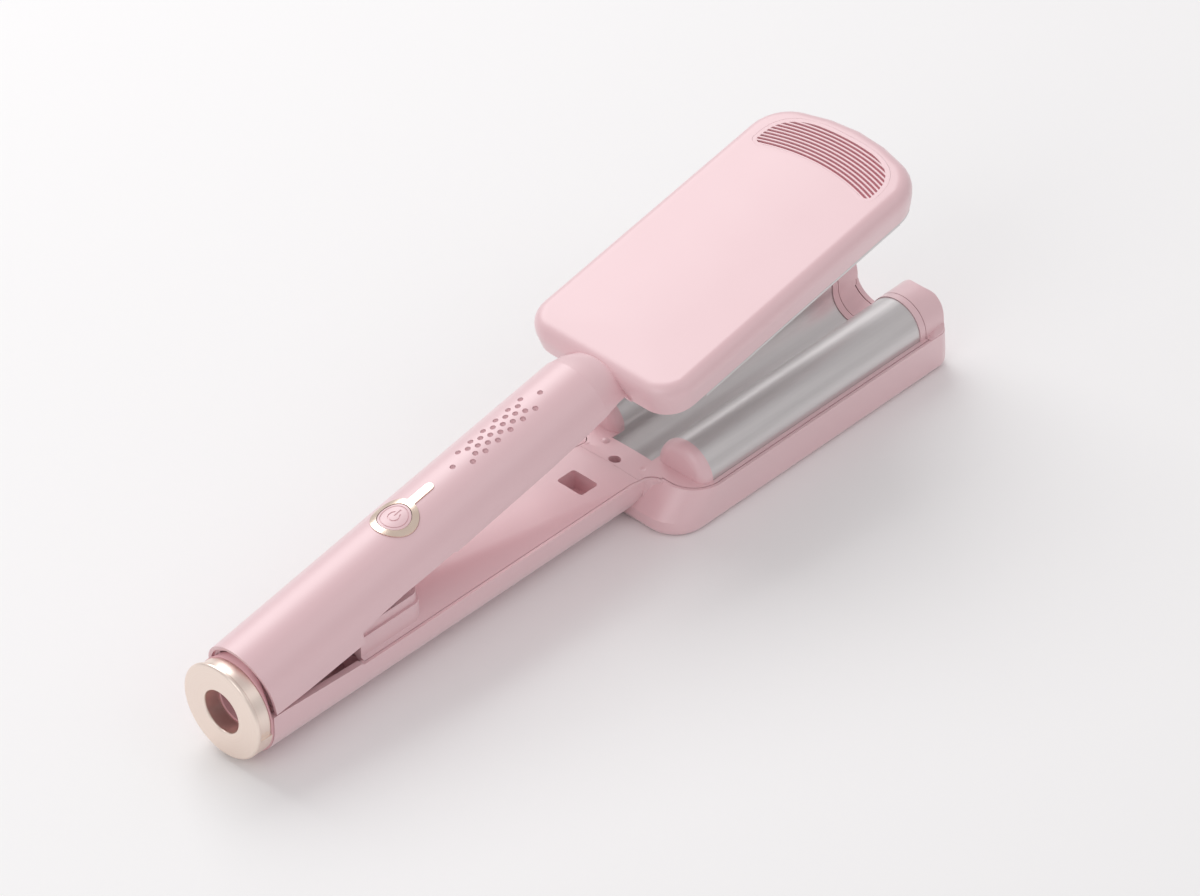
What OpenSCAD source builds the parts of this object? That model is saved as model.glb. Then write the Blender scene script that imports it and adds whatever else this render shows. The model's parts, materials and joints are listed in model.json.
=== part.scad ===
// Hair waver: two arms hinged at the tail, closing a pair of waved heating plates.
// Sizes are in mm. X runs from the tail to the tip, Z is up, the object rests on Z = 0.
// The arms are drawn closed and the upper one is swung open at the end.

/* [Handle] */
// Length of the handle from the tail face to the back of the lower head
handle_len = 165.9; // [162:0.1:175]
// Radius of the rounded grip, half its width
grip_r = 14.2; // [13.8:0.1:15]
// Thickness of the plastic walls of the handle
wall = 2.2; // [1.8:0.1:2.4]
// Height of the lower handle's seam above the table
seam_z = 16.75; // [16.5:0.05:17]
// Height of the grip's top at the tail when the arms are closed
grip_top = 38.2; // [38:0.1:39]
// Fall of the grip's top from the tail to the neck
grip_fall = 1.9; // [1.2:0.1:2.2]

/* [Tail] */
// Radius of the metal tail ring
ring_r = 16.3; // [15.8:0.1:17]
// Thickness of the metal tail ring
ring_t = 6; // [4.5:0.1:6.2]
// Radius of the cord opening in the tail ring
bore_r = 7.3; // [6:0.1:7.4]
// Height of the tail ring's centre above the table
ring_z = 18.3; // [18:0.1:19]

/* [Hinge] */
// Angle between the arms at rest
open_deg = 11.1; // [8:0.1:12]
// Distance of the hinge pins from the tail face
hinge_x = 11.9; // [11.9:0.1:13]
// Height of the hinge pins above the table
hinge_z = 17; // [16.8:0.1:17.2]
// Radius of a hinge pin
pin_r = 1.5; // [1.2:0.1:1.8]
// Distance of the spring from the tail face
spring_x = 57.9; // [56:0.1:60]
// Mean radius of the opening spring
spring_r = 4.4; // [4:0.1:4.8]
// Radius of the spring's wire
wire_r = 0.6; // [0.4:0.05:0.7]

/* [Heads] */
// Length of the lower head
head_len = 133; // [125:1:140]
// Width of the lower head
head_w = 64.4; // [64:0.1:66]
// Height of the lower head's seam above the table
tray_z = 15.4; // [15:0.1:15.8]
// Distance of the upper cover's tip behind the lower tip
cover_back = 5; // [4.5:0.1:6]
// Height of the closed cover's top above the bars' tops
cover_over = 6.86; // [6.5:0.02:7.5]
// Height of the upper cover's low edge when the arms are closed
cover_low = 21.2; // [21:0.1:21.4]
// Wall thickness of the head shells
head_wall = 1.8; // [1.6:0.1:1.8]

/* [Heating plates] */
// Radius of the two round bars as a share of the head's width
bar_share = 0.1606; // [0.1585:0.0001:0.1615]
// Height of the bars' centre line above the table
barrel_z = 15.1; // [15:0.1:15.2]
// Thickness of the plates
plate_t = 0.9; // [0.6:0.1:1]
// Rise of the bars towards the tip
bar_rise = 1.5; // [1:0.1:1.6]
// Room for the hair between the closed plates
hair_gap = 0.8; // [0.7:0.05:0.9]

/* [Button] */
// Distance of the power button from the tail face
button_x = 78.7; // [77:0.1:82]
// Radius of the power button
button_r = 5.3; // [4.6:0.1:5.4]
// Outer radius of the metal trim round the button
bezel_r = 7.6; // [7.2:0.1:8]
// Distance the button sinks when pressed
button_travel = 0.8; // [0.5:0.1:1]

/* [Vents] */
// Distance of the dot pattern's centre from the lower head
dots_back = 42.1; // [40:0.1:45]
// Pitch of the dots along the handle
dot_pitch = 5.57; // [5.2:0.01:5.7]
// Radius of a dot
dot_r = 0.95; // [0.6:0.05:1]
// Number of slots in the vent at the tip
slot_count = 11; // [7:1:11]
// Pitch of the vent slots
slot_pitch = 1.45; // [1.3:0.05:1.45]
// Width of a vent slot
slot_w = 0.85; // [0.5:0.05:0.9]

/* [Fits] */
// Running clearance on radius between a pin and its hole
run_gap = 0.06; // [0.03:0.01:0.1]
// Gap between parts that are assembled against each other
seat_gap = 0.05; // [0.03:0.01:0.1]
// Width of the seam that shows between two shells
seam_w = 0.25; // [0.15:0.05:0.3]

/* [Hidden] */
$fn = 72;
head_x = handle_len;
tip_x = handle_len + head_len;
mid_x = tip_x / 2;
barrel_r = bar_share * head_w;
bar_edge = 2.76;
barrel_y = head_w / 2 - barrel_r - bar_edge;
valley_r = barrel_y - barrel_r;
core_r = valley_r - hair_gap;
hood_r = barrel_r + hair_gap;
grip_tilt = atan(grip_fall / handle_len);
// lower arm
grip_floor = wall;
rim_step = 1;
rim_half = grip_r - rim_step;
cover_half = rim_half - seam_w;
tail_x = ring_t + 2.3;
tail_edge = seam_z + 2.45;
ring_sector = 80;
collar_r = grip_r - wall - 0.9;
pin_skin = 1;
lip_t = 1.2;
lug_r = 2.7;
lug_room = 0.4;
lug_y0 = 8.6;
lug_t = 2.9;
rear_r = 12;
rim_rear_x = head_x + 7.6;
rim_rear_r = 12;
tip_r = 5;
foot_round = 3;
rim_depth = 1.8;
ramp_x0 = head_x - 2;
ramp_x1 = head_x + 6;
split_x = head_x + 2;
neck_r = 4;
ledge_z = tray_z + 0.15;
plate_x0 = head_x + 18.6;
plate_x1 = tip_x - 14.2;
valley_x0 = head_x + 12.6;
plate_tilt = atan(bar_rise / (plate_x1 - plate_x0));
ring_gap_x = plate_x1 + 2.6;
rib_proud = 0.35;
leg_depth = 2.2;
dome_len = 4.3;
dome_round = 3.9;
cap_foot_y = head_w / 2 - 4;
cap_flare = 3;
block_x0 = spring_x - 11;
block_x1 = spring_x + 16.6;
block_y = grip_r - wall - 0.3;
block_top = 27.5;
block_step = 0.9;
block_step_z = seam_z + 7.6;
block_roof_r = grip_r - wall - 0.25;
block_roof_z = grip_top - grip_r - (block_x1 - hinge_x) * tan(grip_tilt) - 0.1;
crown_rise = 5;
flat_rise = 0.4;
cover_t = 1.6;
socket_x0 = head_x - 16.8;
socket_x1 = head_x - 9;
socket_y0 = -6;
socket_y1 = 5;
socket_r = 1.2;
socket_floor = 10;
screw_x = head_x + 4.7;
screw_head_r = 1.9;
screw_shank_r = 1.05;
screw_seat_z = 11;
screw_boss_r = 3.6;
// upper arm
cover_set_in = 0.1;
cover_w = head_w - 2 * cover_set_in;
cover_top = barrel_z + barrel_r + cover_over;
cover_x0 = head_x + 0.2;
cover_x1 = tip_x - cover_back;
cover_rear_r = 11;
cover_tip_r = 15.5;
cover_round = 4.5;
cover_lean = 1;
crown = 0.6;
tip_bow = 3;
neck_x = head_x - 9;
plate_u0 = plate_x0 - 1.6;
plate_u1 = plate_x1 + 2.8;
rim_z = cover_low - seat_gap - plate_t;
hood_end = cover_w / 2 - cover_lean - head_wall - 0.1;
corner_room = 0.25;
web_t = 0.3;
web_lift = 0.5;
web_overlap = 0.1;
lid_z = 23.4;
lid_t = 1.6;
lid_x0 = block_x1 + 1.2;
board_z = 26.5;
board_t = 1.6;
dots_x = head_x - dots_back;
board_x0 = button_x - 3.9;
board_x1 = head_x - 24.1;
mica_z = barrel_z + hood_r + plate_t + seat_gap;
mica_t = 0.8;
mica_x0 = plate_x0 + 6;
mica_x1 = plate_x1 - 6;
mica_y = barrel_y + 2.9;
floor_mica_y = barrel_y + 7.6;
heater_x0 = plate_x0 + 14;
heater_len = 75;
heater_t = 5;
heater_top = barrel_z + 6.8;
core_heater_y = 0.628 * core_r;
core_heater_z = barrel_z - sqrt(pow(core_r - plate_t - 0.05, 2) - pow(core_heater_y, 2));
hood_tip_r = barrel_r + rib_proud + 0.5;
vent_x1 = cover_x1 - 5.5;
vent_x0 = vent_x1 - 17.5;
vent_y = 25.7;
vent_t = 0.7;
vent_rear = 4.5;
vent_rear_r = 68;
vent_power = 0.72;
lid_screw_x = head_x - 17;
button_z = grip_top - (button_x - hinge_x) * tan(grip_tilt);
guide_len = 5.2;
guide_r = 8.2;
flange_r = 6.8;
flange_t = 1.2;
flange_z = button_z - guide_len - seat_gap - flange_t;
switch_top = flange_z - button_travel - 0.15;
plunger_r = 1.2;
bezel_seat = 0.85;
bezel_proud = 0.35;
button_proud = 0.2;
groove_r = button_r - 0.9;
mark_depth = 0.25;
spring_z0 = 9;
spring_z1 = 40;
spring_turns = 8;
seat_r = 6;
peg_r = spring_r - wire_r - 0.5;

module seat() {
  translate([-mid_x, 0, 0])
    children();
}

module swing() {
  seat()
    translate([hinge_x, 0, hinge_z])
      rotate([0, -open_deg, 0])
        translate([-hinge_x, 0, -hinge_z])
          children();
}

// Tilts what belongs to the bars, which rise a little towards the tip.
module rise() {
  translate([plate_x0, 0, tray_z])
    rotate([0, -plate_tilt, 0])
      translate([-plate_x0, 0, -tray_z])
        children();
}

function rise_at(x) = (x - plate_x0) * tan(plate_tilt);

// Extrudes a section drawn in Y and Z from x0 to x1.
module along(x0, x1) {
  translate([x0, 0, 0])
    rotate([90, 0, 90])
      linear_extrude(x1 - x0)
        children();
}

// Extrudes a side view drawn in X and Z across the whole width.
module across(w) {
  translate([0, w / 2, 0])
    rotate([90, 0, 0])
      linear_extrude(w)
        children();
}

module pair(y) {
  for (s = [-1, 1])
    translate([0, s * y, 0])
      children();
}

module pair_2d(y) {
  for (s = [-1, 1])
    translate([s * y, 0])
      children();
}

// Half ring, open below.
module arch(r, t) {
  difference() {
    circle(r);
    circle(r - t);
    translate([-r - 1, -r - 1])
      square([2 * r + 2, r + 1]);
  }
}

// ---------- lower arm ----------

module grip_section(r, top) {
  translate([0, grip_r])
    circle(r);
  translate([-r, grip_r])
    square([2 * r, top - grip_r]);
}

// Disc with a rounded lower edge.
module foot_puck(r, h, round) {
  rotate_extrude($fn = 36)
    union() {
      square([r - round, h]);
      translate([0, round])
        square([r, h - round]);
      intersection() {
        translate([r - round, round])
          circle(round);
        square([r, round]);
      }
    }
}

module tray_form(inset, z0, top) {
  hull() {
    pair(head_w / 2 - 0.6 - rear_r)
      translate([head_x + rear_r, 0, z0])
        foot_puck(rear_r - inset, 6, foot_round - inset / 2);
    pair(head_w / 2 - rim_rear_r)
      translate([rim_rear_x + rim_rear_r, 0, top - 1])
        cylinder(r = rim_rear_r - inset, h = 1);
    pair(head_w / 2 - 0.6 - tip_r)
      translate([tip_x - tip_r, 0, z0])
        foot_puck(tip_r - inset, 6, foot_round - inset / 2);
    pair(head_w / 2 - tip_r)
      translate([tip_x - tip_r - 1.6, 0, top - 1])
        cylinder(r = tip_r - inset, h = 1);
  }
}

// Plan of the lower head at its seam, drawn inwards by inset.
module rim_plan(inset) {
  half = head_w / 2;
  x_back = rim_rear_x + rim_rear_r;
  x_tip = tip_x - 1.6 - tip_r;
  pair_plan(half - rim_rear_r)
    translate([x_back, 0])
      circle(rim_rear_r - inset);
  pair_plan(half - tip_r)
    translate([x_tip, 0])
      circle(tip_r - inset);
  translate([x_back, -half + inset])
    square([x_tip - x_back, 2 * half - 2 * inset]);
  translate([rim_rear_x + inset, -half + rim_rear_r])
    square([x_back - rim_rear_x, 2 * half - 2 * rim_rear_r]);
  translate([x_back, -half + tip_r])
    square([x_tip + tip_r - inset - x_back, 2 * half - 2 * tip_r]);
}

module pair_plan(y) {
  for (s = [-1, 1])
    translate([0, s * y])
      children();
}

// Fills the inner corners where the handle meets the back of the head.
module neck_fillets(half, x, r) {
  for (s = [-1, 1])
    difference() {
      translate([x - r, s > 0 ? half - 1 : -half - r])
        square([r + 1, r + 1]);
      translate([x - r, s * (half + r)])
        circle(r);
    }
}

module lower_top_line() {
  polygon([
    [-1, tail_edge], [hinge_x + 1, tail_edge], [block_x0 - 5, seam_z + 0.9],
    [block_x0 - 2, seam_z + 0.75], [block_x0 - 1, seam_z],
    [ramp_x0, seam_z], [ramp_x1, tray_z], [tip_x + 5, tray_z],
    [tip_x + 5, 60], [-1, 60]
  ]);
}

module lower_shell() {
  color([0.93, 0.72, 0.75])
    seat()
      difference() {
        union() {
          along(tail_x, head_x + 12)
            grip_section(grip_r, tail_edge + 1);
          tray_form(0, 0, tray_z);
          translate([0, 0, 5])
            linear_extrude(seam_z - 5)
              neck_fillets(grip_r, rim_rear_x - 0.8, neck_r);
        }
        for (s = [-1, 1])
          translate([hinge_x, s * (lug_y0 + lug_t / 2), hinge_z])
            rotate([90, 0, 0])
              cylinder(r = lug_r + lug_room, h = lug_t + 2 * lug_room, center = true);
        difference() {
          along(tail_x + 1.4, head_x + 14)
            difference() {
              grip_section(grip_r - wall, tail_edge + 5);
              translate([-grip_r, -1])
                square([2 * grip_r, 1 + grip_floor]);
            }
          along(tail_x, tail_x + 4.7)
            translate([0, ring_z])
              circle(bore_r + 1);
          translate([spring_x, 0, 0])
            cylinder(r = seat_r, h = spring_z0);
          translate([spring_x, 0, 0])
            cylinder(r = peg_r, h = spring_z0 + 4);
          translate([screw_x, 0, 0])
            cylinder(r = screw_boss_r, h = screw_seat_z - 2);
        }
        tray_hollow();
        across(200)
          lower_top_line();
        translate([0, 0, tray_z - rim_depth])
          linear_extrude(30)
            union() {
              rim_plan(rim_step);
              translate([ramp_x0 - 1, -rim_half])
                square([14, 2 * rim_half]);
              neck_fillets(rim_half, rim_rear_x + rim_step - 0.8, neck_r);
            }
        translate([block_x0 - seat_gap, -rim_half, seam_z - cover_t - seat_gap])
          cube([head_x - block_x0, 2 * rim_half, 10]);
        along(tail_x - 1, tail_x + 6)
          translate([0, ring_z])
            circle(bore_r);
        rise()
          along(tip_x - 10, tip_x + 2)
            open_valley(valley_r - rib_proud);
        for (s = [-1, 1])
          translate([hinge_x, s * (grip_r - wall / 2 - pin_skin), hinge_z])
            rotate([90, 0, 0])
              cylinder(r = pin_r + seat_gap, h = wall, center = true);
        translate([screw_x, 0, wall + 1])
          cylinder(r = screw_shank_r + seat_gap, h = 20);
      }
}

module tray_hollow() {
  difference() {
    tray_form(head_wall + 0.4, wall, tray_z + 1);
    translate([screw_x, 0, 0])
      cylinder(r = screw_boss_r, h = screw_seat_z - 2);
  }
}

// Section of the crowned handle cover, rise high in the middle.
module cover_section(half, base, rise) {
  steps = 12;
  polygon(concat(
    [[-half, base - cover_t], [-half, base]],
    [for (i = [1:steps - 1])
      [half * (2 * i / steps - 1), base + rise * sin(180 * i / steps)]],
    [[half, base], [half, base - cover_t]]
  ));
}

module cover_skin(drop, half) {
  hull() {
    along(block_x0, block_x1 + 6)
      cover_section(half, seam_z - drop, crown_rise);
    along(socket_x0 - 3, socket_x0 - 2)
      cover_section(half, seam_z - drop, flat_rise);
  }
}

// Height of the deck's edge where it falls from the handle to the tray.
function ramp_z(x) = seam_z - (seam_z - tray_z) * (x - ramp_x0) / (ramp_x1 - ramp_x0);

// Side view of what lies below the deck's edge.
module deck_side() {
  polygon([
    [0, 0], [tip_x, 0], [tip_x, ledge_z], [ramp_x1, ledge_z], [ramp_x0, seam_z], [0, seam_z]
  ]);
}

// Piece of the deck between two places on the ramp.
module deck_ramp(x0, x1) {
  thin = 0.05;
  hull() {
    along(x0, x0 + thin)
      cover_section(cover_half, ramp_z(x0), flat_rise);
    along(x1 - thin, x1)
      cover_section(cover_half, ramp_z(x1), flat_rise);
  }
}

module lower_cover() {
  half = cover_half;
  color([0.95, 0.76, 0.79])
    seat()
      difference() {
        union() {
          cover_skin(0, half);
          along(socket_x0 - 3, ramp_x0)
            cover_section(half, seam_z, flat_rise);
          deck_ramp(ramp_x0, split_x);
          spring_house(0);
          translate([socket_x0 - 1, socket_y0 - 1, socket_floor - 1])
            cube([socket_x1 - socket_x0 + 2, socket_y1 - socket_y0 + 2, seam_z - socket_floor + 1]);
        }
        difference() {
          cover_skin(cover_t, half - cover_t);
          translate([socket_x0 - 1, socket_y0 - 1, 0])
            cube([20, socket_y1 - socket_y0 + 2, 40]);
        }
        translate([0, 0, -0.1])
          spring_house(wall);
        translate([spring_x, 0, 0])
          cylinder(r = seat_r + 1.6, h = 60);
        difference() {
          translate([0, 0, socket_floor])
            linear_extrude(20)
              socket_plan();
          translate([socket_x0 + 2, socket_y0 - 1, socket_floor - 1])
            cube([socket_x1 - socket_x0 - 3.5, 2.2, seam_z - socket_floor]);
        }
      }
}

// Plan of the catch's socket, with rounded corners.
module socket_plan() {
  for (x = [socket_x0 + socket_r, socket_x1 - socket_r])
    for (y = [socket_y0 + socket_r, socket_y1 - socket_r])
      translate([x, y])
        circle(socket_r, $fn = 24);
  translate([socket_x0, socket_y0 + socket_r])
    square([socket_x1 - socket_x0, socket_y1 - socket_y0 - 2 * socket_r]);
  translate([socket_x0 + socket_r, socket_y0])
    square([socket_x1 - socket_x0 - 2 * socket_r, socket_y1 - socket_y0]);
}

// Raised house round the spring; its sides tuck into the upper handle, the upper part set in.
module spring_house(inset) {
  z0 = seam_z - cover_t;
  intersection() {
    union() {
      translate([0, 0, z0])
        linear_extrude(block_step_z - z0)
          house_plan(inset);
      translate([0, 0, z0])
        linear_extrude(block_top - inset - z0)
          house_plan(inset + block_step);
    }
    along(block_x0 - 1, block_x1 + 1)
      union() {
        translate([0, block_roof_z])
          circle(block_roof_r - inset);
        translate([-block_y, 0])
          square([2 * block_y, block_roof_z]);
      }
  }
}

module house_plan(inset) {
  x0 = block_x0 + inset;
  x1 = block_x1 - inset;
  y1 = block_y - inset;
  r = 5 - inset;
  translate([x0, -y1])
    square([x1 - x0 - r, 2 * y1]);
  translate([x0, -y1 + r])
    square([x1 - x0, 2 * y1 - 2 * r]);
  pair_plan(y1 - r)
    translate([x1 - r, 0])
      circle(r);
}

// Round-ended block behind each bar, turned about the bar's axis.
module bar_dome(r, len, round) {
  rotate([0, -90, 0])
    rotate_extrude()
      union() {
        square([r - round, len]);
        square([r, len - round]);
        intersection() {
          translate([r - round, len - round])
            circle(round);
          square([r, len]);
        }
      }
}

// Waved section up to the bars' tops, grown outwards by grow, closed below at z0.
module wave_section(grow, z0, foot_y) {
  difference() {
    union() {
      pair_2d(barrel_y)
        translate([0, barrel_z])
          circle(barrel_r + grow);
      translate([-foot_y, z0])
        square([2 * foot_y, barrel_z - z0]);
    }
    translate([0, barrel_z])
      circle(valley_r - grow);
    translate([-valley_r + grow, barrel_z])
      square([2 * valley_r - 2 * grow, 40]);
    translate([-60, z0 - 60])
      square([120, 60]);
  }
}

module lower_plate_section() {
  translate([0, barrel_z]) {
    pair_2d(barrel_y)
      arch(barrel_r, plate_t);
    pair_2d(barrel_y + barrel_r - plate_t / 2)
      translate([-plate_t / 2, -leg_depth])
        square([plate_t, leg_depth + 0.1]);
    valley_sheet();
  }
}

module valley_sheet() {
  mirror([0, 1])
    arch(valley_r + plate_t, plate_t);
  pair_2d(valley_r + plate_t / 2)
    translate([-plate_t / 2, -0.2])
      square([plate_t, 0.4]);
}

module lower_frame() {
  half = head_w / 2;
  ledge_foot = tray_z - rim_depth;
  color([0.94, 0.74, 0.77])
    seat()
      difference() {
        union() {
          difference() {
            union() {
              translate([0, 0, ledge_foot])
                linear_extrude(ledge_z - ledge_foot)
                  union() {
                    rim_plan(rim_step + seam_w);
                    translate([split_x + seat_gap, -cover_half])
                      square([9, 2 * cover_half]);
                  }
              intersection() {
                translate([0, 0, ledge_foot])
                  linear_extrude(10)
                    neck_fillets(cover_half, rim_rear_x + rim_step + seam_w - 0.8, neck_r);
                across(100)
                  deck_side();
              }
              deck_ramp(split_x + seat_gap, ramp_x1);
              along(ramp_x1, valley_x0 - seat_gap)
                cover_section(cover_half, tray_z, flat_rise);
              translate([valley_x0 - 2, -valley_r - 3, barrel_z - valley_r])
                cube([2 - seat_gap, 2 * valley_r + 6, valley_r]);
              translate([screw_x, 0, screw_seat_z - 2 + seat_gap])
                cylinder(r = screw_boss_r, h = 5);
              translate([head_x + 10, 8.9, ledge_z - 0.6])
                sphere(r = 1.6);
            }
            translate([plate_x0 - seat_gap, -half, 0])
              cube([ring_gap_x, 2 * half, ledge_foot + 0.4]);
            rise()
              along(valley_x0 - seat_gap, plate_x1 + seat_gap)
                valley_room();
            along(plate_x0 - seat_gap, tip_x)
              pair_2d(barrel_y)
                translate([-barrel_r - seat_gap, 0])
                  square([2 * barrel_r + 2 * seat_gap, 40]);
            rise()
              along(plate_x1, ring_gap_x + 1)
                open_valley(valley_r - rib_proud);
            translate([ring_gap_x, -half, 0])
              cube([30, 2 * half, 60]);
          }
          intersection() {
            rise()
              difference() {
                pair(barrel_y)
                  translate([plate_x0 - seat_gap, 0, barrel_z])
                    bar_dome(barrel_r + rib_proud, dome_len, dome_round);
                pair(barrel_y)
                  translate([plate_x0 + 1, 0, barrel_z])
                    bar_dome(barrel_r - 1.5, dome_len - 0.8, dome_round - 1);
                along(valley_x0 - seat_gap, plate_x0)
                  valley_room();
              }
            translate([head_x, -half, ledge_foot])
              cube([40, 2 * half, 40]);
          }
          rise()
            along(plate_x1 + seat_gap, ring_gap_x)
              wave_section(rib_proud, wall + mica_t + 1, head_w / 2 - 4);
        }
        translate([screw_x, 0, screw_seat_z])
          cylinder(r = screw_head_r + 0.2, h = 20);
        translate([screw_x, 0, 0])
          cylinder(r = screw_shank_r + 0.15, h = 20);
        translate([head_x + 7.7, -9.5, ledge_z + 1.7])
          sphere(r = 2);
      }
}

module valley_room() {
  translate([0, barrel_z])
    difference() {
      circle(valley_r + plate_t + seat_gap);
      translate([-20, 0])
        square([40, 20]);
    }
  translate([-valley_r, barrel_z - 0.01])
    square([2 * valley_r, 40]);
}

// Trough between the bars, open above.
module open_valley(r) {
  translate([0, barrel_z])
    circle(r);
  translate([-r, barrel_z])
    square([2 * r, 40]);
}

module tip_cap() {
  x0 = ring_gap_x + seam_w;
  flange_z0 = tray_z - rim_depth + seat_gap;
  color([0.95, 0.75, 0.78])
    seat()
      intersection() {
        union() {
          rise()
            difference() {
              along(x0, tip_x)
                wave_section(rib_proud, wall + 1, cap_foot_y);
              along(ring_gap_x + 2.5, tip_x - 5)
                difference() {
                  wave_section(-1.4, wall, cap_foot_y - 2);
                  translate([-valley_r - 2, 0])
                    square([2 * valley_r + 4, 60]);
                }
            }
          for (s = [0, 1])
            mirror([0, s, 0]) {
              translate([x0, cap_foot_y - 1, flange_z0])
                cube([tip_x - x0, 6, ledge_z - flange_z0]);
              cap_corner(x0);
            }
        }
        union() {
          translate([0, 0, flange_z0])
            linear_extrude(rim_depth + 1)
              rim_plan(rim_step + seam_w);
          translate([0, 0, tray_z + seat_gap])
            linear_extrude(40)
              rim_plan(0.2);
          across(2 * cap_foot_y)
            polygon([
              [x0, 0], [tip_x - 3.2, 0], [tip_x - 2.5, 6], [tip_x - 2.5, 8],
              [tip_x - 4.1, tray_z], [x0, tray_z]
            ]);
        }
        across(100)
          tip_side();
      }
}

// Flare from the cap's side out to the tray's wall, growing towards the tip.
module cap_corner(x0) {
  thin = 0.1;
  y0 = cap_foot_y - 1;
  y1 = head_w / 2;
  z0 = tray_z;
  hull() {
    along(x0 + 1.5, x0 + 1.5 + thin)
      polygon([[y0, z0], [y1, z0], [y1, ledge_z], [y0, ledge_z + 0.2]]);
    along(tip_x - 5.5, tip_x - 5.5 + thin)
      polygon([[y0, z0], [y1, z0], [y1, z0 + 0.2 * cap_flare], [y0, z0 + 0.8 * cap_flare]]);
    along(tip_x - thin, tip_x)
      polygon([[y0, z0], [y1, z0], [y1, z0 + 0.3 * cap_flare], [y0, z0 + cap_flare]]);
  }
}

// Side view of the tip cap: upright with a rounded upper front edge.
module tip_side() {
  x_end = tip_x - 1.7;
  r = 2.6;
  z_end = barrel_z + barrel_r + rib_proud + rise_at(tip_x) - r;
  square([x_end, z_end]);
  square([x_end - r, 60]);
  translate([x_end - r, z_end])
    circle(r);
}

module lower_plate() {
  color([0.78, 0.79, 0.8])
    seat()
      rise() {
        along(plate_x0, plate_x1)
          lower_plate_section();
        along(valley_x0, plate_x0 + 1)
          translate([0, barrel_z])
            intersection() {
              valley_sheet();
              translate([-20, -20])
                square([40, 20]);
            }
      }
}

module tail_cap() {
  color([0.86, 0.74, 0.66])
    seat()
      translate([0, 0, ring_z])
        rotate([0, 90, 0])
          difference() {
            rotate_extrude($fn = 96)
              union() {
                translate([bore_r, 0.5])
                  square([ring_r - bore_r, ring_t - 0.5]);
                polygon([
                  [bore_r + 0.4, 0], [ring_r - 0.5, 0], [ring_r, 0.5], [ring_r, 1],
                  [bore_r, 1], [bore_r, 0.4]
                ]);
              }
            translate([0, 0, 1.3])
              difference() {
                cylinder(r = ring_r + 2, h = ring_t, $fn = 96);
                translate([0, 0, -1])
                  cylinder(r = ring_r - 1, h = ring_t + 2, $fn = 96);
                linear_extrude(ring_t)
                  polygon([
                    [0, 0], [3 * ring_r * cos(ring_sector), -3 * ring_r * sin(ring_sector)],
                    [4 * ring_r, 0], [3 * ring_r * cos(ring_sector), 3 * ring_r * sin(ring_sector)]
                  ]);
              }
          }
}

// Collar that runs from the ring's outline to the handle's section.
module tail_collar() {
  thin = 0.3;
  color([0.9, 0.68, 0.72])
    seat()
      difference() {
        hull() {
          along(ring_t + seat_gap, ring_t + seat_gap + thin)
            translate([0, ring_z])
              circle(ring_r - 0.8);
          along(tail_x - seat_gap - thin, tail_x - seat_gap)
            union() {
              grip_section(grip_r - 0.2, seam_z + 1.5);
              translate([0, grip_top - grip_r])
                circle(collar_r);
            }
        }
        along(ring_t - 1, tail_x + 1)
          translate([0, ring_z])
            circle(bore_r - 0.6);
      }
}

module hinge_pins() {
  color([0.75, 0.76, 0.78])
    seat()
      for (s = [-1, 1])
        translate([hinge_x, s * (lug_y0 + grip_r - pin_skin) / 2, hinge_z])
          rotate([90, 0, 0])
            cylinder(r = pin_r, h = grip_r - pin_skin - lug_y0, center = true, $fn = 48);
}

// Coil of round wire as rings of points joined into one skin.
module opening_spring() {
  turns = spring_turns;
  per_turn = 20;
  ring_n = 8;
  steps = turns * per_turn;
  rise = spring_z1 - spring_z0 - 2 * wire_r;
  pts = [
    for (i = [0:steps], j = [0:ring_n - 1])
      let (a = 360 * i / per_turn, b = 360 * j / ring_n, r = spring_r + wire_r * cos(b))
        [r * cos(a), r * sin(a), spring_z0 + wire_r + rise * i / steps + wire_r * sin(b)]
  ];
  sides = [
    for (i = [0:steps - 1], j = [0:ring_n - 1])
      let (k = (j + 1) % ring_n)
        [i * ring_n + j, (i + 1) * ring_n + j, (i + 1) * ring_n + k, i * ring_n + k]
  ];
  ends = [
    [for (j = [0:ring_n - 1]) j],
    [for (j = [ring_n - 1:-1:0]) steps * ring_n + j]
  ];
  color([0.72, 0.73, 0.75])
    seat()
      translate([spring_x, 0, 0])
        polyhedron(points = pts, faces = concat(sides, ends), convexity = 6);
}

module lower_heaters() {
  color([0.93, 0.9, 0.84])
    seat()
      rise()
        pair(barrel_y)
          translate([heater_x0, -6, heater_top - heater_t])
            cube([heater_len, 12, heater_t]);
}

// Bent strip that presses a heater against its plate.
module clip(z0, z1, w) {
  t = 0.8;
  translate([0, -w / 2, z1 - t])
    cube([10, w, t]);
  pair(w / 2 - t / 2)
    translate([0, -t / 2, z0])
      cube([10, t, z1 - z0]);
  pair(w / 2 + 1.5)
    translate([0, -2, z0])
      cube([10, 4, t]);
}

module lower_clips() {
  color([0.7, 0.7, 0.72])
    seat()
      for (x = [heater_x0 + 12, heater_x0 + heater_len - 22])
        pair(barrel_y)
          translate([x, 0, 0])
            clip(wall + mica_t, heater_top - heater_t + rise_at(x), 8);
}

module lower_insulator() {
  color([0.86, 0.83, 0.72])
    seat()
      translate([heater_x0 - 4, -floor_mica_y, wall])
        cube([heater_len + 8, 2 * floor_mica_y, mica_t]);
}

module thermal_fuse() {
  color([0.8, 0.8, 0.82])
    seat()
      translate([heater_x0 + heater_len / 2, -barrel_y, wall + mica_t + 1.6])
        rotate([0, 90, 0])
          union() {
            cylinder(r = 1.6, h = 11, center = true, $fn = 32);
            cylinder(r = 0.4, h = 24, center = true, $fn = 16);
          }
}

module thermistor() {
  color([0.25, 0.2, 0.18])
    seat()
      translate([heater_x0 + heater_len / 2 - 2, barrel_y - 1.5, heater_top - heater_t - 2])
        cube([4, 3, 2 + rise_at(heater_x0 + heater_len / 2 - 2)]);
}

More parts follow.
